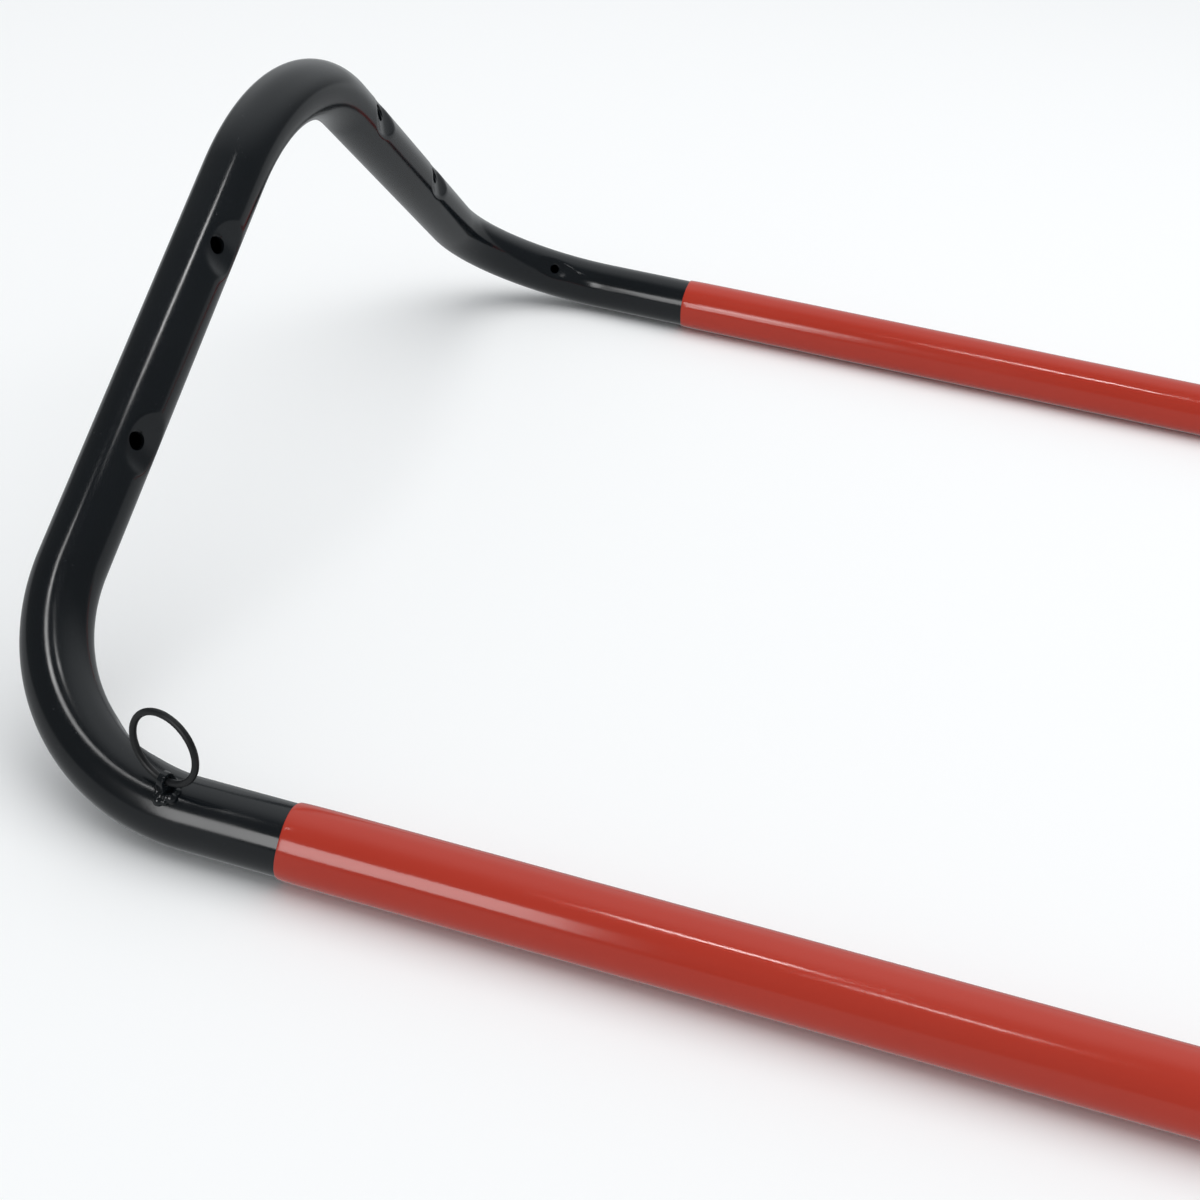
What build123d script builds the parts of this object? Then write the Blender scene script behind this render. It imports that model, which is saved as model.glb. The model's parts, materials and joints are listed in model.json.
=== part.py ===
"""Handle frame of a post driver.

A round steel tube is bent into a peaked nose between two long parallel legs. Each leg is
a straight tube joined to the nose on a pinned spigot, and a red PVC sleeve covers the
joint and the grip. A wire ring swings in a small lug on top of the near corner.
Origin: centre of the footprint, on the plane that the sleeves rest on. X runs along the
legs away from the nose, Y from the near leg to the far leg, Z up. Millimetres.
"""
from build123d import *
import math
import os

# Driving dimensions
TUBE_D = 25.4
TUBE_WALL = 2.0
LEG_SPACING = 518.0        # between the leg axes
LEG_LENGTH = 660.0         # from a corner's vertex to the end of the leg
NOSE_RISE = 184.0          # from the leg axes up to the vertex of the nose
NOSE_LEAN = 9.5            # how far that vertex stands ahead of the corners
CORNER_R = 78.0            # bend radii on the tube's axis
APEX_R = 95.0

JOINT_X = 160.0            # along a leg, from the corner's vertex
SPIGOT_LENGTH = 120.0
SPIGOT_WALL = 2.5
SPIGOT_CLEARANCE = 0.05
PIN_D = 5.0
PIN_INSET = 0.3            # below the tube's surface at each end

SLEEVE_WALL = 0.9
SLEEVE_START = {"near": 111.0, "far": 122.0}
SLEEVE_END = 614.0
SLEEVE_LIP = 0.6           # rounding of the sleeve's ends

BUSH_X = LEG_LENGTH - 22.0
BUSH_D = 12.0
BUSH_BORE_D = 8.5
PLUG_RIM = 2.6
PLUG_DEPTH = 14.0
PLUG_WALL = 1.6
PLUG_CLEARANCE = 0.1

NOSE_BOLT_D = 7.0
BOLT_STATIONS = (97.0, 185.0)   # from the nose's vertex, down each arm
PATTERN_SHIFT = 7.0             # of the drilled pattern, towards the near leg
BOLT_TURN = 36.0                # of a bolt's axis, from the legs' direction upwards
SEAT_TURN = 22.0                # of the scallop pressed round each bolt hole
SEAT_R = 27.5                   # roller that presses it, laid across the arm
SEAT_DEPTH = 3.0
CORNER_HOLE_D = 5.0
CORNER_HOLE_TURN = 18.0         # round each corner's bend, past its middle
CORNER_DIMPLE_R = 30.0
CORNER_DIMPLE_DEPTH = 1.4

RING_R = 13.4              # to the middle of the wire
RING_WIRE_D = 2.6
RING_TURN = 14.5           # of the ring's plane about Z, out of line with the leg
EYE = Vector(69.0, -5.6, 16.5)  # from the near corner's vertex
LUG_HOLE_R = 1.65
LUG_EYE_R = 3.0
LUG_THICKNESS = 2.5
LUG_FOOT = 8.0
WELD_R = 2.0
WELD_LUMPS = 10

# Derived dimensions
tube_r = TUBE_D / 2
bore_r = tube_r - TUBE_WALL
sleeve_r = tube_r + SLEEVE_WALL
leg_y = LEG_SPACING / 2
side_signs = {"near": -1, "far": 1}

arm_length = math.hypot(NOSE_LEAN, leg_y, NOSE_RISE)
apex_drop = APEX_R * (arm_length / leg_y - 1)
apex_x = -NOSE_LEAN * (1 - apex_drop / math.hypot(NOSE_LEAN, NOSE_RISE))
front_x = apex_x - tube_r
back_x = LEG_LENGTH + PLUG_RIM
corner_x = -(front_x + back_x) / 2
leg_z = sleeve_r

nose_vertex = Vector(corner_x - NOSE_LEAN, 0, leg_z + NOSE_RISE)
near_corner = Vector(corner_x, -leg_y, leg_z)
far_corner = Vector(corner_x, leg_y, leg_z)


def leg_plane(side, distance):
    """Plane square to a leg at this distance from its corner's vertex, with X upwards."""
    origin = (corner_x + distance, side_signs[side] * leg_y, leg_z)
    return Plane(origin=origin, x_dir=(0, 0, 1), z_dir=(1, 0, 0))


def cross_plane(side, distance):
    """Level plane on a leg's axis, for holes and pins that run straight up through it."""
    return Plane(origin=(corner_x + distance, side_signs[side] * leg_y, leg_z))


def bolt_plane(side, station, turn=BOLT_TURN):
    """Plane on an arm's axis at a bolt, whose normal points out of the tube.

    The normal is turned this far from the legs' direction towards the arm's upper side.
    """
    sign = side_signs[side]
    arm = (Vector(NOSE_LEAN, sign * leg_y, -NOSE_RISE)).normalized()
    level = (Vector(1, 0, 0) - arm * arm.X).normalized()
    upper = level.cross(arm) * sign
    outward = level * math.cos(math.radians(turn)) + upper * math.sin(math.radians(turn))
    origin = nose_vertex + arm * (station - sign * PATTERN_SHIFT)
    return Plane(origin=origin, x_dir=arm, z_dir=outward)


def corner_plane(side):
    """Plane on a corner's axis whose normal points to the inside of the bend."""
    vertex = near_corner if side == "near" else far_corner
    to_nose = (nose_vertex - vertex).normalized()
    along_leg = Vector(1, 0, 0)
    inward = (to_nose + along_leg).normalized()
    forward = (along_leg - to_nose).normalized()
    half_angle = math.radians(to_nose.get_angle(along_leg) / 2)
    bend_centre = vertex + inward * (CORNER_R / math.sin(half_angle))
    turn = math.radians(CORNER_HOLE_TURN)
    normal = inward * math.cos(turn) - forward * math.sin(turn)
    tangent = forward * math.cos(turn) + inward * math.sin(turn)
    return Plane(origin=bend_centre - normal * CORNER_R, x_dir=tangent, z_dir=normal)


bolts = [(side, station) for side in side_signs for station in BOLT_STATIONS]
bolt_planes = [bolt_plane(side, station) for side, station in bolts]
seat_planes = [bolt_plane(side, station, SEAT_TURN) for side, station in bolts]
corner_planes = [corner_plane(side) for side in side_signs]
pin_distances = (JOINT_X - SPIGOT_LENGTH / 4, JOINT_X + SPIGOT_LENGTH / 4)


def finish(piece, label):
    """Name a finished piece and write it."""
    piece.part.label = label
    export_step(piece.part, f"parts/{label}.step")


def nose_rod(radius):
    """Solid rod along the nose's whole axis, from one leg joint to the other."""
    reach = Vector(JOINT_X, 0, 0)
    points = [near_corner + reach, near_corner, nose_vertex, far_corner, far_corner + reach]
    with BuildPart() as rod:
        with BuildLine() as axis:
            FilletPolyline(*points, radius=[CORNER_R, APEX_R, CORNER_R])
        with BuildSketch(Plane(origin=axis.line @ 0, z_dir=axis.line % 0)):
            Circle(radius)
        sweep()
    return rod.part


os.makedirs("parts", exist_ok=True)
outer_rod = nose_rod(tube_r)

# The bore stays a wall's thickness clear of each pressed seat.
roller_height = tube_r + SEAT_R - SEAT_DEPTH
punch_height = tube_r + CORNER_DIMPLE_R - CORNER_DIMPLE_DEPTH
rollers = [plane.offset(roller_height) for plane in seat_planes]
punches = [plane.offset(punch_height) for plane in corner_planes]
across = (90, 0, 0)
with BuildPart() as nose_bore:
    add(nose_rod(bore_r))
    with Locations(*rollers):
        Cylinder(SEAT_R + TUBE_WALL, 2 * TUBE_D, rotation=across, mode=Mode.SUBTRACT)
    with Locations(*punches):
        Sphere(CORNER_DIMPLE_R + TUBE_WALL, mode=Mode.SUBTRACT)

with BuildPart() as nose_tube:
    add(outer_rod)
    with Locations(*rollers):
        Cylinder(SEAT_R, 2 * TUBE_D, rotation=across, mode=Mode.SUBTRACT)
    with Locations(*punches):
        Sphere(CORNER_DIMPLE_R, mode=Mode.SUBTRACT)
    add(nose_bore.part, mode=Mode.SUBTRACT)
    with BuildSketch(*corner_planes):
        Circle(CORNER_HOLE_D / 2)
    extrude(amount=TUBE_D, mode=Mode.SUBTRACT)
    with BuildSketch(*bolt_planes):
        Circle(NOSE_BOLT_D / 2)
    extrude(amount=TUBE_D, both=True, mode=Mode.SUBTRACT)
    with BuildSketch(*[cross_plane(side, pin_distances[0]) for side in side_signs]):
        Circle(PIN_D / 2)
    extrude(amount=TUBE_D, both=True, mode=Mode.SUBTRACT)
finish(nose_tube, "nose_tube")

for side in side_signs:
    with BuildPart() as leg_tube:
        with BuildSketch(leg_plane(side, JOINT_X)):
            Circle(tube_r)
            Circle(bore_r, mode=Mode.SUBTRACT)
        extrude(amount=LEG_LENGTH - JOINT_X)
        with BuildSketch(cross_plane(side, pin_distances[1])):
            Circle(PIN_D / 2)
        extrude(amount=TUBE_D, both=True, mode=Mode.SUBTRACT)
        with BuildSketch(cross_plane(side, BUSH_X)):
            Circle(BUSH_D / 2)
        extrude(amount=TUBE_D, both=True, mode=Mode.SUBTRACT)
    finish(leg_tube, f"{side}_leg_tube")

    with BuildPart() as joint_spigot:
        with BuildSketch(leg_plane(side, JOINT_X - SPIGOT_LENGTH / 2)):
            Circle(bore_r - SPIGOT_CLEARANCE)
            Circle(bore_r - SPIGOT_CLEARANCE - SPIGOT_WALL, mode=Mode.SUBTRACT)
        extrude(amount=SPIGOT_LENGTH)
        with BuildSketch(*[cross_plane(side, distance) for distance in pin_distances]):
            Circle(PIN_D / 2)
        extrude(amount=TUBE_D, both=True, mode=Mode.SUBTRACT)
    finish(joint_spigot, f"{side}_joint_spigot")

    with BuildPart() as joint_pins:
        with BuildSketch(*[cross_plane(side, distance) for distance in pin_distances]):
            Circle(PIN_D / 2)
        extrude(amount=tube_r - PIN_INSET, both=True)
        chamfer(joint_pins.edges().filter_by(GeomType.CIRCLE), length=PIN_D / 10)
    finish(joint_pins, f"{side}_joint_pins")

    with BuildPart() as grip_sleeve:
        with BuildSketch(leg_plane(side, SLEEVE_START[side])):
            Circle(sleeve_r)
            Circle(tube_r, mode=Mode.SUBTRACT)
        extrude(amount=SLEEVE_END - SLEEVE_START[side])
        rims = grip_sleeve.edges().filter_by(GeomType.CIRCLE).group_by(SortBy.RADIUS)[-1]
        fillet(rims, radius=SLEEVE_LIP)
    finish(grip_sleeve, f"{side}_grip_sleeve")

    with BuildPart() as end_bush:
        with BuildSketch(cross_plane(side, BUSH_X)):
            Circle(BUSH_D / 2)
            Circle(BUSH_BORE_D / 2, mode=Mode.SUBTRACT)
        extrude(amount=tube_r, both=True)
        with BuildSketch(leg_plane(side, BUSH_X - BUSH_D)):
            Circle(tube_r)
        extrude(amount=2 * BUSH_D, mode=Mode.INTERSECT)
    finish(end_bush, f"{side}_end_bush")

    with BuildPart() as end_plug:
        with BuildSketch(leg_plane(side, LEG_LENGTH)):
            Circle(tube_r)
        extrude(amount=PLUG_RIM)
        fillet(end_plug.faces().sort_by(Axis.X)[-1].edges(), radius=PLUG_RIM * 0.6)
        with BuildSketch(leg_plane(side, LEG_LENGTH)):
            Circle(bore_r - PLUG_CLEARANCE)
            Circle(bore_r - PLUG_CLEARANCE - PLUG_WALL, mode=Mode.SUBTRACT)
        extrude(amount=-PLUG_DEPTH)
    finish(end_plug, f"{side}_end_plug")

# The lug is a plate square to the ring's wire, and its foot is cut to the tube.
eye = near_corner + EYE
wire_dir = Vector(-1, 0, 0).rotate(Axis.Z, -RING_TURN)
lug_up = Vector(0, EYE.Y, EYE.Z)
lug_up = (lug_up - wire_dir * lug_up.dot(wire_dir)).normalized()
lug_plane = Plane(origin=eye, x_dir=lug_up, z_dir=wire_dir)
foot_drop = math.hypot(EYE.Y, EYE.Z) - tube_r
with BuildPart() as ring_lug:
    with BuildSketch(lug_plane):
        Circle(LUG_EYE_R)
        with BuildLine():
            Polyline(
                (0, -LUG_EYE_R),
                (0, LUG_EYE_R),
                (-foot_drop - WELD_R, LUG_FOOT / 2),
                (-foot_drop - WELD_R, -LUG_FOOT / 2),
                close=True,
            )
        make_face()
        Circle(LUG_HOLE_R, mode=Mode.SUBTRACT)
    extrude(amount=LUG_THICKNESS / 2, both=True)
    add(outer_rod, mode=Mode.SUBTRACT)
finish(ring_lug, "ring_lug")

# A lumpy bead runs round the lug's foot.
foot_plane = Plane(origin=eye - lug_up * foot_drop, x_dir=wire_dir, z_dir=lug_up)
with BuildPart() as lug_weld:
    for lump in range(WELD_LUMPS):
        angle = 2 * math.pi * lump / WELD_LUMPS
        along = (LUG_THICKNESS / 2 + 1) * math.cos(angle)
        across = (LUG_FOOT / 2 + 0.5) * math.sin(angle)
        with Locations(foot_plane.from_local_coords(Vector(along, across, 0))):
            Sphere(WELD_R)
    add(outer_rod, mode=Mode.SUBTRACT)
    add(ring_lug.part, mode=Mode.SUBTRACT)
finish(lug_weld, "lug_weld")

ring_centre = eye + Vector(0, 0, RING_R)
with BuildPart() as pull_ring:
    with Locations(Plane(origin=ring_centre, x_dir=wire_dir, z_dir=wire_dir.cross(Vector(0, 0, 1)))):
        Torus(RING_R, RING_WIRE_D / 2)
finish(pull_ring, "pull_ring")
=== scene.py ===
# %% [markdown]
# # Handle frame of a post driver
#
# The real frame is one round steel tube, bent into a peaked nose between two long legs
# and coated glossy black. Red PVC sleeves cover the legs. A wire ring stands in a small
# welded lug on one corner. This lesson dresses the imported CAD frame: it keeps every size
# and place, and models the surfaces that a camera comes close to.

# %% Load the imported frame
import json
import math

import bpy
from mathutils import Matrix, Vector


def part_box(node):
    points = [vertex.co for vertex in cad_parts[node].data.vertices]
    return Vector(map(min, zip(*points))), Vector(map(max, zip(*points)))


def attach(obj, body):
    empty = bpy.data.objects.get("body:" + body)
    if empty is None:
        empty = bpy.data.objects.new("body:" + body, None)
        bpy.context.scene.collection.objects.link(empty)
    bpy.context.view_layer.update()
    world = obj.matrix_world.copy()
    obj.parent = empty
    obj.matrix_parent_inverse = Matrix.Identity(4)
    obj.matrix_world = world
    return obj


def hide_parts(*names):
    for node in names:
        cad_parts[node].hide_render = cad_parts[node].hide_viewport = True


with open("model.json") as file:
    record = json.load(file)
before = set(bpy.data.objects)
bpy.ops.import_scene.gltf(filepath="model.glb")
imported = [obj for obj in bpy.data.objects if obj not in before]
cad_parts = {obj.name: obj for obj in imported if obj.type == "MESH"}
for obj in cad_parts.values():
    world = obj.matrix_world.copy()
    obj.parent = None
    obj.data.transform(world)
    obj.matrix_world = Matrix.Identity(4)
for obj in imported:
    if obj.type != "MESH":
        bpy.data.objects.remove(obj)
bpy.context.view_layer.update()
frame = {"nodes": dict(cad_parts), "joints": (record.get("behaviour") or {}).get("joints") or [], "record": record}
nodes = frame["nodes"]
print("CAD nodes:", len(nodes))

# %% [markdown]
# ## Sizes
#
# Everything that the CAD frame can tell is read from it: where the legs run, how thick
# the tube is and where the sleeves end. Only the bends are repeated here as sizes,
# because a box can't say how a tube turns inside it.

# %% Read the legs and set out the nose
MM = 0.001
TUBE_WALL = 2.0 * MM
NOSE_LEAN = 9.5 * MM
NOSE_RISE = 184.0 * MM
CORNER_RADIUS = 78.0 * MM
APEX_RADIUS = 95.0 * MM
NOSE_REACH = 160.0 * MM    # from a corner's vertex to the hidden joint in its leg
CORNER_TURN = 18.0         # degrees past a corner's middle to its hole
MERGE_GAP = 0.02 * MM      # points closer than this are one point

leg_low, leg_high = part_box("near_leg_tube")
tube_radius = (leg_high.z - leg_low.z) / 2
leg_z = (leg_high.z + leg_low.z) / 2
leg_y = -(leg_high.y + leg_low.y) / 2
joint_x = leg_low.x
corner_x = joint_x - NOSE_REACH
near_corner = Vector((corner_x, -leg_y, leg_z))
far_corner = Vector((corner_x, leg_y, leg_z))
nose_vertex = Vector((corner_x - NOSE_LEAN, 0, leg_z + NOSE_RISE))
mounts = {mount["name"]: mount for mount in frame["record"]["mounts"]}
print("tube radius, mm:", round(tube_radius / MM, 2), "legs apart, mm:", round(2 * leg_y / MM))

# %% [markdown]
# ## Helpers for working by hand in code
#
# Operators act on whatever is selected, so each piece starts with nothing selected. In
# edit mode the wanted faces are picked by a rule on their place, which is what a person
# does with a box select.


# %% Selecting, editing and applying
def deselect():
    if bpy.context.object and bpy.context.object.mode != "OBJECT":
        bpy.ops.object.mode_set(mode="OBJECT")
    bpy.ops.object.select_all(action="DESELECT")


def pick(*pieces):
    """Select only these pieces, and make the first one active."""
    deselect()
    for piece in pieces:
        piece.select_set(True)
    bpy.context.view_layer.objects.active = pieces[0]
    return pieces[0]


def added(name):
    """Name the primitive that was just added, and put its place in its mesh."""
    piece = bpy.context.object
    piece.name = name
    piece.data.name = name
    bpy.ops.object.transform_apply(location=True, rotation=True, scale=True)
    return piece


def edit(piece, kind="VERT"):
    pick(piece)
    bpy.ops.object.mode_set(mode="EDIT")
    bpy.ops.mesh.select_mode(type=kind)


def select_where(piece, kind, rule):
    """In edit mode, select the vertices, edges or faces whose middle passes the rule."""
    bpy.ops.mesh.select_all(action="DESELECT")
    bpy.ops.mesh.select_mode(type={"vertices": "VERT", "edges": "EDGE", "polygons": "FACE"}[kind])
    bpy.ops.object.mode_set(mode="OBJECT")
    mesh = piece.data
    for item in getattr(mesh, kind):
        if kind == "vertices":
            middle = item.co
        else:
            corners = [mesh.vertices[i].co for i in item.vertices]
            middle = sum(corners, Vector()) / len(corners)
        item.select = rule(middle)
    bpy.ops.object.mode_set(mode="EDIT")


def apply_modifier(piece, kind, **settings):
    pick(piece)
    modifier = piece.modifiers.new(kind.title(), kind)
    for setting, value in settings.items():
        setattr(modifier, setting, value)
    bpy.ops.object.modifier_apply(modifier=modifier.name)


def outward(piece):
    edit(piece)
    bpy.ops.mesh.select_all(action="SELECT")
    bpy.ops.mesh.remove_doubles(threshold=MERGE_GAP)
    bpy.ops.mesh.normals_make_consistent(inside=False)
    deselect()


def smooth(piece, angle=35):
    pick(piece)
    bpy.ops.object.shade_smooth_by_angle(angle=math.radians(angle), keep_sharp_edges=False)


def made(piece, body, slot, material, *replaced):
    """Hang a finished piece on its body, with its finish and the CAD nodes it stands for."""
    piece.data.materials.clear()
    piece.data.materials.append(material)
    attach(piece, body)
    if replaced:
        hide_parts(*replaced)
    piece.data.calc_loop_triangles()
    print(f"{piece.name}: {len(piece.data.loop_triangles)} triangles")


# %% [markdown]
# ## Camera
#
# The camera looks down over the near leg, so that the leg runs off to the lower right
# and the peaked nose stands at the upper left. A roll of a few degrees tips the legs.

# %% Camera
CAMERA_PLACE = Vector((-0.0252, -0.6691, 0.4000))
CAMERA_AIM = Vector((-0.1604, -0.0493, 0.0))
CAMERA_ROLL = 6.96
CAMERA_LENS = 52.08
SENSOR_WIDTH = 36.0

camera_data = bpy.data.cameras.new("camera")
camera_data.lens = CAMERA_LENS
camera_data.sensor_width = SENSOR_WIDTH
camera = bpy.data.objects.new("camera", camera_data)
bpy.context.scene.collection.objects.link(camera)
turn = (CAMERA_AIM - CAMERA_PLACE).to_track_quat("-Z", "Y").to_matrix()
turn = turn @ Matrix.Rotation(math.radians(CAMERA_ROLL), 3, "Z")
camera.matrix_world = Matrix.Translation(CAMERA_PLACE) @ turn.to_4x4()
bpy.context.scene.camera = camera
print("camera at", [round(value, 3) for value in CAMERA_PLACE])

# %% [markdown]
# ## Finishes
#
# A glossy coat is told apart from flat paint by small things: a faint orange peel that
# makes reflections waver, a roughness that changes where hands have rubbed, and a few
# specks of dust. Each finish starts from the same small kit of nodes.


# %% Node kit
def new_material(name):
    material = bpy.data.materials.new(name)
    material.use_nodes = True
    return material, material.node_tree.nodes["Principled BSDF"]


def set_all(shader, **values):
    for socket, value in values.items():
        shader.inputs[socket.replace("_", " ")].default_value = value


def link(material, source, target):
    material.node_tree.links.new(source, target)


def object_noise(material, scale, detail=2.0, stretch=(1, 1, 1), roughness=0.5):
    """Noise on the piece's own coordinates. Scale is in waves to the metre."""
    tree = material.node_tree
    place = tree.nodes.new("ShaderNodeTexCoord")
    mapping = tree.nodes.new("ShaderNodeMapping")
    mapping.inputs["Scale"].default_value = stretch
    noise = tree.nodes.new("ShaderNodeTexNoise")
    noise.inputs["Scale"].default_value = scale
    noise.inputs["Detail"].default_value = detail
    noise.inputs["Roughness"].default_value = roughness
    tree.links.new(place.outputs["Object"], mapping.inputs["Vector"])
    tree.links.new(mapping.outputs["Vector"], noise.inputs["Vector"])
    return noise.outputs["Fac"]


def ramp(material, source, stops):
    """Colour ramp with (position, colour or grey) stops."""
    node = material.node_tree.nodes.new("ShaderNodeValToRGB")
    while len(node.color_ramp.elements) < len(stops):
        node.color_ramp.elements.new(0.5)
    for element, (position, colour) in zip(node.color_ramp.elements, stops):
        element.position = position
        grey = isinstance(colour, (int, float))
        element.color = (colour, colour, colour, 1) if grey else (*colour, 1)
    link(material, source, node.inputs["Fac"])
    return node.outputs["Color"]


def bump(material, shader, height, depth, strength=1.0):
    """Raise the surface by up to depth metres. Bumps added later ride on earlier ones."""
    node = material.node_tree.nodes.new("ShaderNodeBump")
    node.inputs["Strength"].default_value = strength
    node.inputs["Distance"].default_value = depth
    link(material, height, node.inputs["Height"])
    if shader.inputs["Normal"].links:
        link(material, shader.inputs["Normal"].links[0].from_socket, node.inputs["Normal"])
    link(material, node.outputs["Normal"], shader.inputs["Normal"])


# %% Black powder coat
def black_coat():
    material, shader = new_material("gloss_black_coat")
    set_all(shader, Specular_IOR_Level=0.5)
    mottle = object_noise(material, 14, detail=4)
    dust = object_noise(material, 900, detail=1)
    colour = ramp(material, mottle, [(0.3, (0.004, 0.0055, 0.007)), (0.75, (0.007, 0.009, 0.011))])
    specks = ramp(material, dust, [(0.78, 0.0), (0.84, 1.0)])
    mix = material.node_tree.nodes.new("ShaderNodeMix")
    mix.data_type = "RGBA"
    mix.inputs["B"].default_value = (0.05, 0.052, 0.055, 1)
    link(material, specks, mix.inputs["Factor"])
    link(material, colour, mix.inputs["A"])
    link(material, mix.outputs["Result"], shader.inputs["Base Color"])
    rubbed = object_noise(material, 30, detail=5, roughness=0.6)
    link(material, ramp(material, rubbed, [(0.3, 0.12), (0.7, 0.2)]), shader.inputs["Roughness"])
    bump(material, shader, object_noise(material, 420, detail=2), 0.008 * MM)
    bump(material, shader, object_noise(material, 60, detail=1), 0.05 * MM)
    return material


coat = black_coat()


# %% Red PVC
def red_sleeve():
    material, shader = new_material("gloss_red_pvc")
    set_all(shader, Specular_IOR_Level=0.5)
    tint = object_noise(material, 9, detail=3, stretch=(0.5, 1, 1))
    colours = [(0.25, (0.43, 0.034, 0.018)), (0.8, (0.49, 0.043, 0.024))]
    link(material, ramp(material, tint, colours), shader.inputs["Base Color"])
    rubbed = object_noise(material, 40, detail=5, stretch=(0.3, 1, 1), roughness=0.6)
    link(material, ramp(material, rubbed, [(0.35, 0.10), (0.7, 0.18)]), shader.inputs["Roughness"])
    bump(material, shader, object_noise(material, 70, detail=2, stretch=(0.35, 1, 1)), 0.10 * MM)
    bump(material, shader, object_noise(material, 500, detail=2), 0.012 * MM)
    return material


red = red_sleeve()


# %% Moulded plastic, zinc and wire
def moulded_black():
    material, shader = new_material("moulded_black_plastic")
    set_all(shader, Specular_IOR_Level=0.4)
    tone = object_noise(material, 60, detail=3)
    colours = [(0.3, (0.010, 0.010, 0.011)), (0.8, (0.020, 0.020, 0.021))]
    link(material, ramp(material, tone, colours), shader.inputs["Base Color"])
    link(material, ramp(material, tone, [(0.3, 0.45), (0.8, 0.6)]), shader.inputs["Roughness"])
    bump(material, shader, object_noise(material, 1800, detail=2), 0.03 * MM)
    return material


def zinc_plate():
    material, shader = new_material("zinc_plated_steel")
    set_all(shader, Metallic=1.0)
    spangle = object_noise(material, 160, detail=4)
    colours = [(0.3, (0.42, 0.43, 0.45)), (0.7, (0.62, 0.63, 0.64))]
    link(material, ramp(material, spangle, colours), shader.inputs["Base Color"])
    link(material, ramp(material, spangle, [(0.3, 0.28), (0.7, 0.42)]), shader.inputs["Roughness"])
    bump(material, shader, object_noise(material, 900, detail=3), 0.02 * MM)
    return material


def wire_black():
    material, shader = new_material("satin_black_wire")
    set_all(shader, Specular_IOR_Level=0.4)
    tone = object_noise(material, 250, detail=3)
    colours = [(0.3, (0.006, 0.007, 0.008)), (0.8, (0.013, 0.014, 0.015))]
    link(material, ramp(material, tone, colours), shader.inputs["Base Color"])
    link(material, ramp(material, tone, [(0.3, 0.34), (0.7, 0.5)]), shader.inputs["Roughness"])
    bump(material, shader, object_noise(material, 1200, detail=2), 0.02 * MM)
    return material


plastic = moulded_black()
zinc = zinc_plate()
wire = wire_black()
print("finishes:", [material.name for material in bpy.data.materials if material.users])

# %% [markdown]
# ## The bent nose tube
#
# A tube bender feeds straight tube, then turns it round a die, and a mesh can be made in
# the same order: a circle is extruded along the first leg, spun round the corner's die,
# extruded up the arm, spun over the peak, and so on. A curve with a bevel would be
# quicker, but the spin gives evenly spaced rings, which the pressed seats need later.


# %% Where each bend starts, turns and ends
class Bend:
    """A round bend at a vertex, between the points before and after it."""

    def __init__(self, before, vertex, after, radius):
        back = (before - vertex).normalized()
        on = (after - vertex).normalized()
        half = back.angle(on) / 2
        inward = (back + on).normalized()
        self.forward = (on - back).normalized()
        self.inward = inward
        self.start = vertex + back * (radius / math.tan(half))
        self.end = vertex + on * (radius / math.tan(half))
        self.centre = vertex + inward * (radius / math.sin(half))
        self.axis = self.forward.cross(inward)
        self.angle = math.pi - 2 * half


near_end = Vector((joint_x, -leg_y, leg_z))
far_end = Vector((joint_x, leg_y, leg_z))
near_bend = Bend(near_end, near_corner, nose_vertex, CORNER_RADIUS)
peak_bend = Bend(near_corner, nose_vertex, far_corner, APEX_RADIUS)
far_bend = Bend(nose_vertex, far_corner, far_end, CORNER_RADIUS)
print("bends, degrees:", [round(math.degrees(b.angle)) for b in (near_bend, peak_bend, far_bend)])

# %% Feed and bend the tube
RING_SPACING = 1.6 * MM
TUBE_SIDES = 72


def feed(start, end):
    """Extrude the open end of the tube straight on, in even steps."""
    steps = max(1, round((end - start).length / RING_SPACING))
    bpy.ops.mesh.extrude_repeat(steps=steps, offset=(end - start) / steps)


def turn_round(bend, radius):
    """Spin the open end of the tube round the bend's die."""
    steps = round(bend.angle * radius / RING_SPACING)
    bpy.ops.mesh.spin(steps=steps, angle=-bend.angle, center=bend.centre, axis=bend.axis)


deselect()
bpy.ops.mesh.primitive_circle_add(
    vertices=TUBE_SIDES, radius=tube_radius, location=near_end, rotation=(0, math.pi / 2, 0)
)
nose = added("bent_nose_tube")
edit(nose)
bpy.ops.mesh.select_all(action="SELECT")
feed(near_end, near_bend.start)
turn_round(near_bend, CORNER_RADIUS)
feed(near_bend.end, peak_bend.start)
turn_round(peak_bend, APEX_RADIUS)
feed(peak_bend.end, far_bend.start)
turn_round(far_bend, CORNER_RADIUS)
feed(far_bend.end, far_end)
outward(nose)
last = min((v.co - far_end).length for v in nose.data.vertices)
print("gap from the last ring to the joint, mm:", round((last - tube_radius) / MM, 3))

# %% [markdown]
# ## Pressed seats
#
# Before the bolt holes are drilled, a roller laid across the arm presses a scallop into
# the tube at each one, and a round-nosed punch makes a shallow dimple in each corner. A
# Boolean cut would leave a knife edge round them. Pressed steel rolls in instead, so each
# vertex under the tool is pushed down to the tool's face, and a smooth minimum rounds
# the rim.

# %% Places of the seats
ROLLER_RADIUS = 27.5 * MM
SEAT_DEPTH = 3.0 * MM
SEAT_TURN = -14.0          # degrees round the arm, from the bolt hole to the scallop
PUNCH_RADIUS = 30.0 * MM
CORNER_HOLE_RADIUS = 2.5 * MM
CORNER_SEAT_DEPTH = 1.4 * MM
RIM_BLEND = 0.35 * MM


class Seat:
    """A pressed place: out points away from the tube, along runs down it."""

    def __init__(self, middle, along, out, depth, tool_radius, roller):
        self.middle = middle
        self.along = along
        self.out = out
        self.across = out.cross(along)
        self.depth = depth
        self.tool_radius = tool_radius
        self.roller = roller


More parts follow.
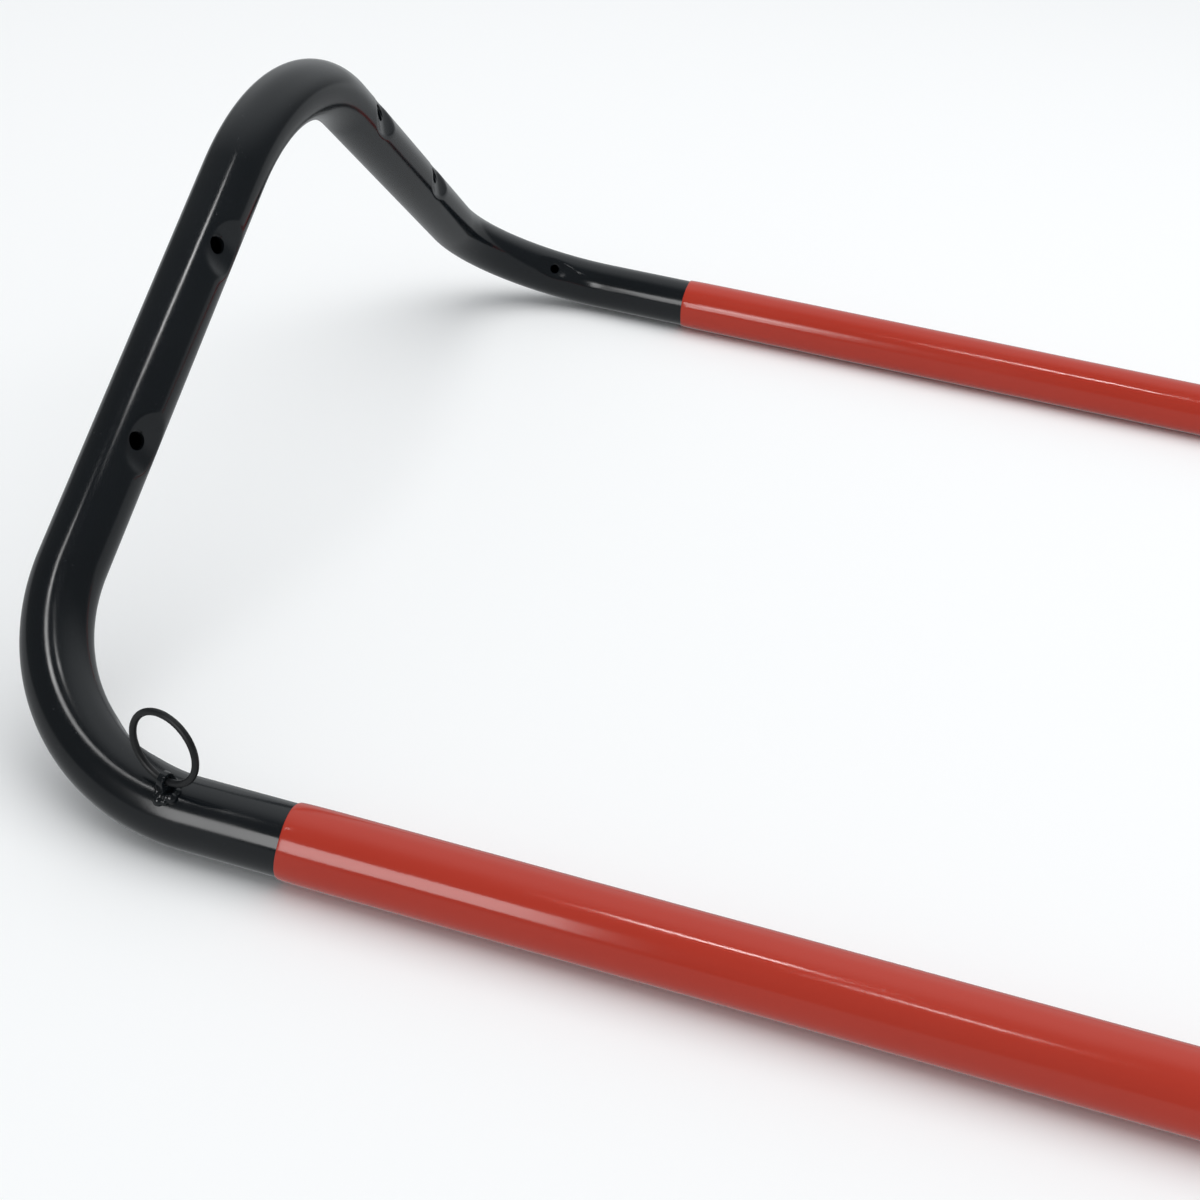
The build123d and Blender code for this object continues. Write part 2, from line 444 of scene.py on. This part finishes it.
class Hole:
    """A drilled place. Its mouth is how far the pressed face stands from the axis."""

    def __init__(self, middle, along, out, radius, mouth, through):
        self.middle = middle
        self.along = along
        self.out = out
        self.across = out.cross(along)
        self.radius = radius
        self.mouth = mouth
        self.through = through


def arm_features(side, corner):
    """Seats and holes of an arm, from the bolt pattern that the CAD record states."""
    mount = mounts[f"{side}_nose_bolts"]
    hole_out = Vector(mount["axis"]).normalized()
    along = (corner - nose_vertex).normalized()
    sign = 1 if side == "near" else -1
    seat_turn = Matrix.Rotation(math.radians(SEAT_TURN), 3, along * sign)
    seat_out = seat_turn @ hole_out
    half_pattern = mount["dims"]["pcd_mm"] * MM / 2
    from_vertex = (Vector(mount["pos_m"]) - nose_vertex).dot(along)
    mouth = (tube_radius - SEAT_DEPTH) / math.cos(math.radians(SEAT_TURN))
    seats, holes = [], []
    for shift in (-half_pattern, half_pattern):
        middle = nose_vertex + along * (from_vertex + shift)
        seats.append(Seat(middle, along, seat_out, SEAT_DEPTH, ROLLER_RADIUS, True))
        radius = mount["dims"]["hole_r_mm"] * MM
        holes.append(Hole(middle, along, hole_out, radius, mouth, True))
    return seats, holes


def corner_features(bend, sense):
    """The small hole on the inside of a corner, past its middle towards the leg."""
    turned = math.radians(CORNER_TURN)
    out = bend.inward * math.cos(turned) - bend.forward * sense * math.sin(turned)
    along = bend.forward * sense * math.cos(turned) + bend.inward * math.sin(turned)
    middle = bend.centre - out * CORNER_RADIUS
    mouth = tube_radius - CORNER_SEAT_DEPTH
    seat = Seat(middle, along, out, CORNER_SEAT_DEPTH, PUNCH_RADIUS, False)
    return [seat], [Hole(middle, along, out, CORNER_HOLE_RADIUS, mouth, False)]


features = [
    arm_features("near", near_corner),
    arm_features("far", far_corner),
    corner_features(near_bend, -1),
    corner_features(far_bend, 1),
]
seats = [seat for group, _ in features for seat in group]
holes = [hole for _, group in features for hole in group]
print("seats:", len(seats), "first faces", [round(value, 3) for value in seats[0].out])


# %% Press them
def smooth_lower(a, b, blend):
    """The lower of two heights, rounded where they cross."""
    mix = max(0.0, min(1.0, 0.5 + (b - a) / (2 * blend)))
    return b + (a - b) * mix - blend * mix * (1 - mix)


def press(piece, seat):
    """Push down each vertex that stands under the seat's roller or punch."""
    reach = 2 * tube_radius
    floor_height = tube_radius - seat.depth + seat.tool_radius
    for vertex in piece.data.vertices:
        offset = vertex.co - seat.middle
        height = offset.dot(seat.out)
        if offset.length > reach or height <= 0:
            continue
        spread = offset.dot(seat.along) ** 2
        if not seat.roller:
            spread += offset.dot(seat.across) ** 2
        tool = floor_height - math.sqrt(seat.tool_radius**2 - spread)
        if tool < height + 2 * RIM_BLEND:
            pressed = smooth_lower(height, tool, RIM_BLEND)
            vertex.co += seat.out * (pressed - height)


for seat in seats:
    press(nose, seat)
apply_modifier(nose, "SOLIDIFY", thickness=TUBE_WALL, offset=-1, use_even_offset=True)
print("nose tube vertices with its wall:", len(nose.data.vertices))

# %% [markdown]
# ## Drilled holes
#
# The holes are drilled after pressing. One Boolean cuts them all, with a drill for each
# hole that flares at the mouth, because a coated hole never has a sharp edge: the flare
# leaves a small chamfer that catches the light.

# %% Drill
DRILL_SIDES = 32
FLARE_START = 0.35 * MM
FLARE = 0.55 * MM


def drill(hole, index):
    """A drill bit in its hole's place, which widens from just under the mouth."""
    mouth = hole.mouth - FLARE_START
    low = -2 * tube_radius if hole.through else 0.0
    deselect()
    bpy.ops.mesh.primitive_cylinder_add(
        vertices=DRILL_SIDES,
        radius=hole.radius,
        depth=mouth - low,
        location=(0, 0, (mouth + low) / 2),
    )
    bit = added(f"drill_{index}")
    edit(bit, "FACE")
    select_where(bit, "polygons", lambda middle: middle.z > mouth - 0.01 * MM)
    bpy.ops.mesh.extrude_region_move(TRANSFORM_OT_translate={"value": (0, 0, FLARE)})
    wider = 1 + FLARE / hole.radius
    bpy.ops.transform.resize(value=(wider, wider, 1))
    bpy.ops.mesh.extrude_region_move(TRANSFORM_OT_translate={"value": (0, 0, 2 * tube_radius)})
    deselect()
    turn = Matrix((hole.along, hole.across, hole.out)).transposed()
    bit.data.transform(Matrix.Translation(hole.middle) @ turn.to_4x4())
    return bit


bits = [drill(hole, index) for index, hole in enumerate(holes)]
cutter = pick(*bits)
bpy.ops.object.join()
outward(cutter)
apply_modifier(nose, "BOOLEAN", operation="DIFFERENCE", object=cutter, solver="EXACT")
bpy.data.objects.remove(cutter)
smooth(nose, 38)
made(nose, "frame", "black_gloss_coat", coat, "nose_tube")

# %% [markdown]
# ## Red grip sleeves
#
# Each sleeve is a length of PVC tube, shrunk on so tightly that it follows the steel. It
# is never quite even: the wall swells and thins by a tenth of a millimetre, its ends pull
# in a little, and a highlight along it wavers. The sleeve is a circle extruded in short
# steps, given a wall, and then swollen by a few waves that never repeat along it.

# %% How a sleeve wavers
SLEEVE_SIDES = 72
SLEEVE_STEP = 1.0 * MM
SWELL = 0.10 * MM
END_PULL = 0.35 * MM
END_REACH = 3.5 * MM
LIP = 0.4 * MM
END_BAND = 0.1 * MM        # rings closer to an end than this are the end itself
END_EDGE = 0.6 * MM        # the cut edge wanders over this much
RAGGED_CUT = 0.25 * MM
WRINKLE = 0.05 * MM
WRINKLE_PITCH = 4.5 * MM
WRINKLE_REACH = 10 * MM


def swell(along, angle, phase):
    """Uneven wall thickness, from waves of unrelated length, between -1 and 1."""
    slow = math.sin(along * 21 + phase + math.cos(angle))
    middle = math.sin(along * 57 + 2.1 * phase + 2 * angle)
    quick = math.sin(along * 143 + 1.3 * angle + math.sin(angle + phase))
    return 0.5 * slow + 0.3 * middle + 0.2 * quick


def wrinkle(distance):
    """A short run of ripples, between 0 and 1, that fades out on both sides."""
    ripple = 0.5 - 0.5 * math.cos(math.tau * distance / WRINKLE_PITCH)
    return ripple * math.exp(-((distance / WRINKLE_REACH) ** 2))


# %% Extrude, swell and thicken both sleeves
def grip_sleeve(side, phase, wrinkle_x):
    """Sleeve of one leg. The phase shifts its waves, and the wrinkles stand round one x."""
    low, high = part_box(f"{side}_grip_sleeve")
    axis_y, axis_z = (low.y + high.y) / 2, (low.z + high.z) / 2
    radius = (high.z - low.z) / 2
    wall = radius - tube_radius
    steps = round((high.x - low.x) / SLEEVE_STEP)
    deselect()
    bpy.ops.mesh.primitive_circle_add(
        vertices=SLEEVE_SIDES,
        radius=radius,
        location=(low.x, axis_y, axis_z),
        rotation=(0, math.pi / 2, 0),
    )
    sleeve = added(f"{side}_red_sleeve")
    edit(sleeve)
    bpy.ops.mesh.select_all(action="SELECT")
    bpy.ops.mesh.extrude_repeat(steps=steps, offset=((high.x - low.x) / steps, 0, 0))
    outward(sleeve)
    for vertex in sleeve.data.vertices:
        spoke = vertex.co - Vector((vertex.co.x, axis_y, axis_z))
        angle = math.atan2(spoke.z, spoke.y)
        vertex.co -= spoke.normalized() * WRINKLE * wrinkle(vertex.co.x - wrinkle_x)
        from_end = min(vertex.co.x - low.x, high.x - vertex.co.x)
        pull = END_PULL * math.exp(-from_end / END_REACH)
        shrink = SWELL * (0.5 - 0.5 * swell(vertex.co.x, angle, phase)) + pull
        vertex.co -= spoke.normalized() * shrink
        if from_end < END_BAND:
            ragged = RAGGED_CUT * (1 + math.sin(3 * angle + phase))
            vertex.co.x += ragged if vertex.co.x - low.x < SLEEVE_STEP else -ragged
    apply_modifier(sleeve, "SOLIDIFY", thickness=wall - SWELL, offset=-1)
    edit(sleeve)

    def outer_end(middle):
        from_end = min(middle.x - low.x, high.x - middle.x)
        from_axis = math.hypot(middle.y - axis_y, middle.z - axis_z)
        return from_end < END_EDGE and from_axis > tube_radius + wall / 4

    select_where(sleeve, "edges", outer_end)
    bpy.ops.mesh.bevel(offset=LIP, segments=3, profile=0.5)
    deselect()
    smooth(sleeve, 50)
    made(sleeve, "frame", "red_pvc", red, f"{side}_grip_sleeve")


grip_sleeve("near", phase=0.4, wrinkle_x=-5 * MM)
grip_sleeve("far", phase=2.9, wrinkle_x=16 * MM)

# %% [markdown]
# ## Ring, lug and weld
#
# The ring is round wire, closed by a small butt weld at its top, so a torus is made and
# one stretch of it is swollen. The lug is a flat plate with a hole. Its CAD shape is
# right, so a copy is cleaned and its edges are bevelled as a file would leave them.

# %% Wire ring
WIRE_STEPS = 128
WIRE_SIDES = 20
WIRE_SLIM = 0.04           # share of its radius that the wire loses away from the weld
BUTT_WELD_REACH = 1.2 * MM

ring_mount = mounts["ring_opening"]
ring_centre = Vector(ring_mount["pos_m"])
ring_axis = Vector(ring_mount["axis"]).normalized()
ring_low, ring_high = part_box("pull_ring")
ring_outer = (ring_high.z - ring_low.z) / 2
eye = Vector(frame["joints"][0]["pos_m"])
ring_radius = (ring_centre - eye).length
wire_radius = ring_outer - ring_radius
deselect()
bpy.ops.mesh.primitive_torus_add(
    major_segments=WIRE_STEPS,
    minor_segments=WIRE_SIDES,
    major_radius=ring_radius,
    minor_radius=wire_radius,
    location=ring_centre,
    rotation=ring_axis.to_track_quat("Z", "Y").to_euler(),
)
ring = added("wire_ring")
for vertex in ring.data.vertices:
    spoke = vertex.co - ring_centre
    spoke -= ring_axis * spoke.dot(ring_axis)
    on_wire = ring_centre + spoke.normalized() * ring_radius
    from_weld = (on_wire - ring_centre - Vector((0, 0, ring_radius))).length
    slim = WIRE_SLIM - WIRE_SLIM * math.exp(-((from_weld / BUTT_WELD_REACH) ** 2))
    vertex.co = vertex.co.lerp(on_wire, slim)
smooth(ring, 60)
made(ring, "ring", "black_wire", wire, "pull_ring")

# %% Lug
FILED_EDGE = 0.3 * MM

deselect()
lug = nodes["ring_lug"].copy()
lug.data = nodes["ring_lug"].data.copy()
lug.name = "ring_lug_plate"
lug.parent = None
for key in list(lug.keys()):
    del lug[key]
bpy.context.scene.collection.objects.link(lug)
edit(lug)
bpy.ops.mesh.select_all(action="SELECT")
bpy.ops.mesh.remove_doubles(threshold=0.01 * MM)
bpy.ops.mesh.dissolve_limited(angle_limit=math.radians(3))
deselect()
apply_modifier(lug, "BEVEL", width=FILED_EDGE, segments=3, angle_limit=math.radians(50))
smooth(lug, 40)
made(lug, "frame", "black_gloss_coat", coat, "ring_lug")

# %% [markdown]
# The weld is a row of overlapping puddles round the lug's foot, under the same coat. A
# single torus would look machined. Round lumps of uneven size are joined, melted into one
# skin by a voxel remesh, and smoothed until only the ripples are left.

# %% Weld bead
PUDDLES = 9
UPPER_PUDDLES = 3
BEAD_REACH = (3.1, 4.0)    # half size of the row in mm, along the leg and across it
BEAD_SHIFT = (-0.7, 1.0)   # its middle from the lug's foot, in mm
BEAD_SKIN = 0.2 * MM

wire_direction = Vector(frame["joints"][0]["axis"]).normalized()
leg_point = Vector((eye.x, -leg_y, leg_z))
foot_out = (eye - leg_point).normalized()
foot_across = foot_out.cross(wire_direction).normalized()
foot_along = foot_across.cross(foot_out).normalized()
foot = leg_point + foot_out * tube_radius
puddles = []


def puddle(along, across, rise, size):
    """One frozen drop of weld, at this place about the lug's foot."""
    deselect()
    place = foot + foot_along * along + foot_across * across + foot_out * rise
    bpy.ops.mesh.primitive_ico_sphere_add(subdivisions=3, radius=size, location=place)
    puddles.append(added(f"puddle_{len(puddles)}"))


for index in range(PUDDLES):
    angle = math.tau * index / PUDDLES
    size = (1.75 + 0.35 * math.sin(5 * angle + 1)) * MM
    drop = -0.4 * MM * (1 - math.cos(2 * angle))
    along = (BEAD_REACH[0] * math.cos(angle) + BEAD_SHIFT[0]) * MM
    across = (BEAD_REACH[1] * math.sin(angle) + BEAD_SHIFT[1]) * MM
    puddle(along, across, drop, size)
for index in range(UPPER_PUDDLES):
    along = (index - 1) * 2.1 * MM - 0.4 * MM
    across = (3.1 + 0.5 * math.sin(1.9 * index)) * MM
    size = (1.45 + 0.2 * math.sin(2.6 * index)) * MM
    puddle(along, across, 0.5 * MM, size)
weld = pick(*puddles)
bpy.ops.object.join()
weld.name = "lug_weld_bead"
apply_modifier(weld, "REMESH", mode="VOXEL", voxel_size=BEAD_SKIN)
apply_modifier(weld, "SMOOTH", factor=0.5, iterations=2)
smooth(weld, 80)
made(weld, "frame", "black_gloss_coat", coat, "lug_weld")

# %% [markdown]
# ## Leg ends
#
# Each leg ends in a moulded plug, with a bush welded through the tube for the bolt that
# holds the frame. The plug is a cylinder whose rim is bevelled and whose face is inset
# into a shallow dish with a mark where the moulding gate was cut off.


# %% Plug
PLUG_RIM = 2.6 * MM
PLUG_ROUNDING = 1.2 * MM
PLUG_SHOULDER = 2.2 * MM
FACE_BORDER = 3.0 * MM
DISH_SLOPE = 0.6 * MM
DISH_DEPTH = 0.7 * MM
DISH_FLOOR = 7.2 * MM      # from the dish's edge in to the gate mark
GATE_SLOPE = 0.3 * MM
GATE_HEIGHT = 0.35 * MM
PLACE_SLACK = 0.01 * MM    # a face this close to a plane lies in it
RIM_SLACK = 0.05 * MM


def end_plug(side):
    low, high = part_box(f"{side}_end_plug")
    rim_start = high.x - PLUG_RIM
    face_middle = Vector((high.x, (low.y + high.y) / 2, leg_z))
    deselect()
    bpy.ops.mesh.primitive_cylinder_add(
        vertices=64,
        radius=tube_radius,
        depth=high.x - rim_start,
        location=((high.x + rim_start) / 2, (low.y + high.y) / 2, leg_z),
        rotation=(0, math.pi / 2, 0),
    )
    plug = added(f"{side}_moulded_plug")
    edit(plug, "FACE")
    select_where(plug, "polygons", lambda middle: middle.x > high.x - PLACE_SLACK)
    bpy.ops.mesh.inset(thickness=FACE_BORDER)
    bpy.ops.mesh.inset(thickness=DISH_SLOPE)
    bpy.ops.transform.translate(value=(-DISH_DEPTH, 0, 0))
    bpy.ops.mesh.inset(thickness=DISH_FLOOR)
    bpy.ops.mesh.inset(thickness=GATE_SLOPE)
    bpy.ops.transform.translate(value=(GATE_HEIGHT, 0, 0))

    def on_rim(middle):
        return abs((middle - face_middle).length - tube_radius) < RIM_SLACK

    select_where(plug, "edges", on_rim)
    bpy.ops.mesh.bevel(offset=PLUG_ROUNDING, segments=4, profile=0.5)
    select_where(plug, "polygons", lambda middle: middle.x < rim_start + PLACE_SLACK)
    bpy.ops.mesh.inset(thickness=PLUG_SHOULDER)
    bpy.ops.mesh.extrude_region_move(TRANSFORM_OT_translate={"value": (low.x - rim_start, 0, 0)})
    outward(plug)
    smooth(plug, 40)
    made(plug, "frame", "black_plastic", plastic, f"{side}_end_plug")


for side in ("near", "far"):
    end_plug(side)

# %% [markdown]
# Every other CAD node keeps its shape and only takes its finish: the straight legs and
# the bushes welded into them are coated with the nose, and the spigots and pins hidden in
# the joints are zinc plated.

# %% Finish the CAD nodes that stay
FINISHES = {"leg_tube": coat, "end_bush": coat, "joint_spigot": zinc, "joint_pins": zinc}
for name, node in nodes.items():
    for ending, material in FINISHES.items():
        if name.endswith(ending):
            node.data.materials.clear()
            node.data.materials.append(material)
            print(f"{name}: {material.name}")

# %% [markdown]
# ## Floor and light
#
# The floor is plain and pale. A black gloss tube shows only what it reflects, so the
# lighting is in two parts. A wide soft box lights the floor and the colours, and stays out
# of reflections, as the floor does. Long soft panels, seen only in reflections, then draw
# the highlights: low ones in front for the broad bands on the legs, thin ones overhead
# for the bright lines along them, and two more for the lines down the arm and its bend.


# %% Floor
def pale_floor():
    material, shader = new_material("pale_floor")
    set_all(shader, Base_Color=(0.94, 0.94, 0.94, 1), Roughness=0.9, Specular_IOR_Level=0.0)
    deselect()
    bpy.ops.mesh.primitive_plane_add(size=14)
    floor = added("floor")
    floor.data.materials.append(material)
    floor.visible_glossy = False


pale_floor()
print("floor laid at z = 0")


# %% A panel of light
def panel(name, place, aim, size, radiance, along=(1, 0, 0), spread=180, highlight=True):
    """Area light that looks at a point, with its width laid along a direction.

    Radiance is how bright its own face is. A small spread keeps it to one tube, and
    would brighten the face by squeezing the same power, so the power is cut to match.
    """
    light = bpy.data.lights.new(name, "AREA")
    light.shape = "RECTANGLE"
    light.size, light.size_y = size
    light.energy = radiance * math.pi * size[0] * size[1]
    light.spread = math.radians(spread)
    if spread < 180:
        half = math.radians(spread) / 2
        light.energy *= (math.tan(half) - half) / math.tan(half)
    lamp = bpy.data.objects.new(name, light)
    lamp.visible_camera = False
    lamp.visible_glossy = highlight
    lamp.visible_diffuse = not highlight
    bpy.context.scene.collection.objects.link(lamp)
    back = (Vector(place) - Vector(aim)).normalized()
    upright = back.cross(Vector(along)).normalized()
    turn = Matrix((upright.cross(back), upright, back)).transposed()
    lamp.matrix_world = Matrix.Translation(place) @ turn.to_4x4()


# %% Lights
near_grip = (-0.15, -leg_y, leg_z)
far_grip = (-0.12, leg_y, leg_z)
near_arm = (-0.32, -0.13, 0.12)
near_bend_top = (-0.31, -0.23, 0.05)
panel("near_band", (-0.46, -1.06, 0.39), near_grip, (0.43, 0.50), 5.0)
panel("far_band", (-0.24, -0.50, 0.36), far_grip, (0.18, 0.20), 3.2, spread=30)
panel("near_line", (-0.12, -0.40, 0.80), (-0.06, -leg_y, 0), (0.16, 0.04), 28.0, (1, -0.2, 0), 24)
panel("near_line_end", (0.06, -0.64, 0.80), (0.01, -leg_y, 0), (0.14, 0.04), 18.0, spread=24)
panel("far_line", (0.05, -0.21, 0.80), (0.01, leg_y, 0), (0.22, 0.04), 32.0, spread=40)
panel("arm_line", (-0.30, -0.22, 0.80), near_arm, (0.22, 0.05), 22.0, (-0.5, -0.85, 0), 18)
panel("bend_line", (-0.62, -0.47, 0.80), near_bend_top, (0.16, 0.06), 16.0, (-0.8, -0.6, 0), 16)
panel("soft_box", (0.3, 0.2, 2.4), (0.0, 0.0, 0.0), (3.0, 3.0), 1.3, highlight=False)
print("lights:", [light.name for light in bpy.data.lights])

# %% [markdown]
# The sky is brighter for colours than for reflections, as in a room with dark walls. Its
# reflected part has a pale ground below the horizon and a soft glow high up behind, which
# greys the nose's top and the upper edges of the legs.

# %% Sky
SKY_FOR_COLOUR = 0.66
SKY_TINT = (0.95, 0.98, 1.0, 1)
WALLS = 0.12
GROUND = 0.42
HORIZON = (-0.06, 0.04)    # heights of a direction between which ground becomes wall
GLOW = 0.60
GLOW_FROM = (-0.1, 0.74, 0.66)
GLOW_EDGE = (0.5, 0.95)    # cosines between which the glow grows to full

world = bpy.data.worlds.new("studio")
world.use_nodes = True
tree = world.node_tree
background = tree.nodes["Background"]
background.inputs["Color"].default_value = SKY_TINT


def step_between(source, edges, levels):
    """Soft step from the first level to the second, as the source crosses the edges."""
    node = tree.nodes.new("ShaderNodeMapRange")
    node.interpolation_type = "SMOOTHSTEP"
    for socket, value in zip(("From Min", "From Max", "To Min", "To Max"), (*edges, *levels)):
        node.inputs[socket].default_value = value
    tree.links.new(source, node.inputs["Value"])
    return node.outputs["Result"]


direction = tree.nodes.new("ShaderNodeTexCoord").outputs["Generated"]
split = tree.nodes.new("ShaderNodeSeparateXYZ")
tree.links.new(direction, split.inputs["Vector"])
towards_glow = tree.nodes.new("ShaderNodeVectorMath")
towards_glow.operation = "DOT_PRODUCT"
towards_glow.inputs[1].default_value = GLOW_FROM
tree.links.new(direction, towards_glow.inputs[0])
reflected = tree.nodes.new("ShaderNodeMath")
room = step_between(split.outputs["Z"], HORIZON, (GROUND, WALLS))
glow = step_between(towards_glow.outputs["Value"], GLOW_EDGE, (0, GLOW))
tree.links.new(room, reflected.inputs[0])
tree.links.new(glow, reflected.inputs[1])
ray = tree.nodes.new("ShaderNodeLightPath")
level = tree.nodes.new("ShaderNodeMix")
level.inputs["A"].default_value = SKY_FOR_COLOUR
tree.links.new(reflected.outputs["Value"], level.inputs["B"])
tree.links.new(ray.outputs["Is Glossy Ray"], level.inputs["Factor"])
tree.links.new(level.outputs["Result"], background.inputs["Strength"])
bpy.context.scene.world = world
bpy.context.scene.view_settings.view_transform = "Standard"
print("sky for colours:", SKY_FOR_COLOUR, "reflected walls:", WALLS, "ground:", GROUND)
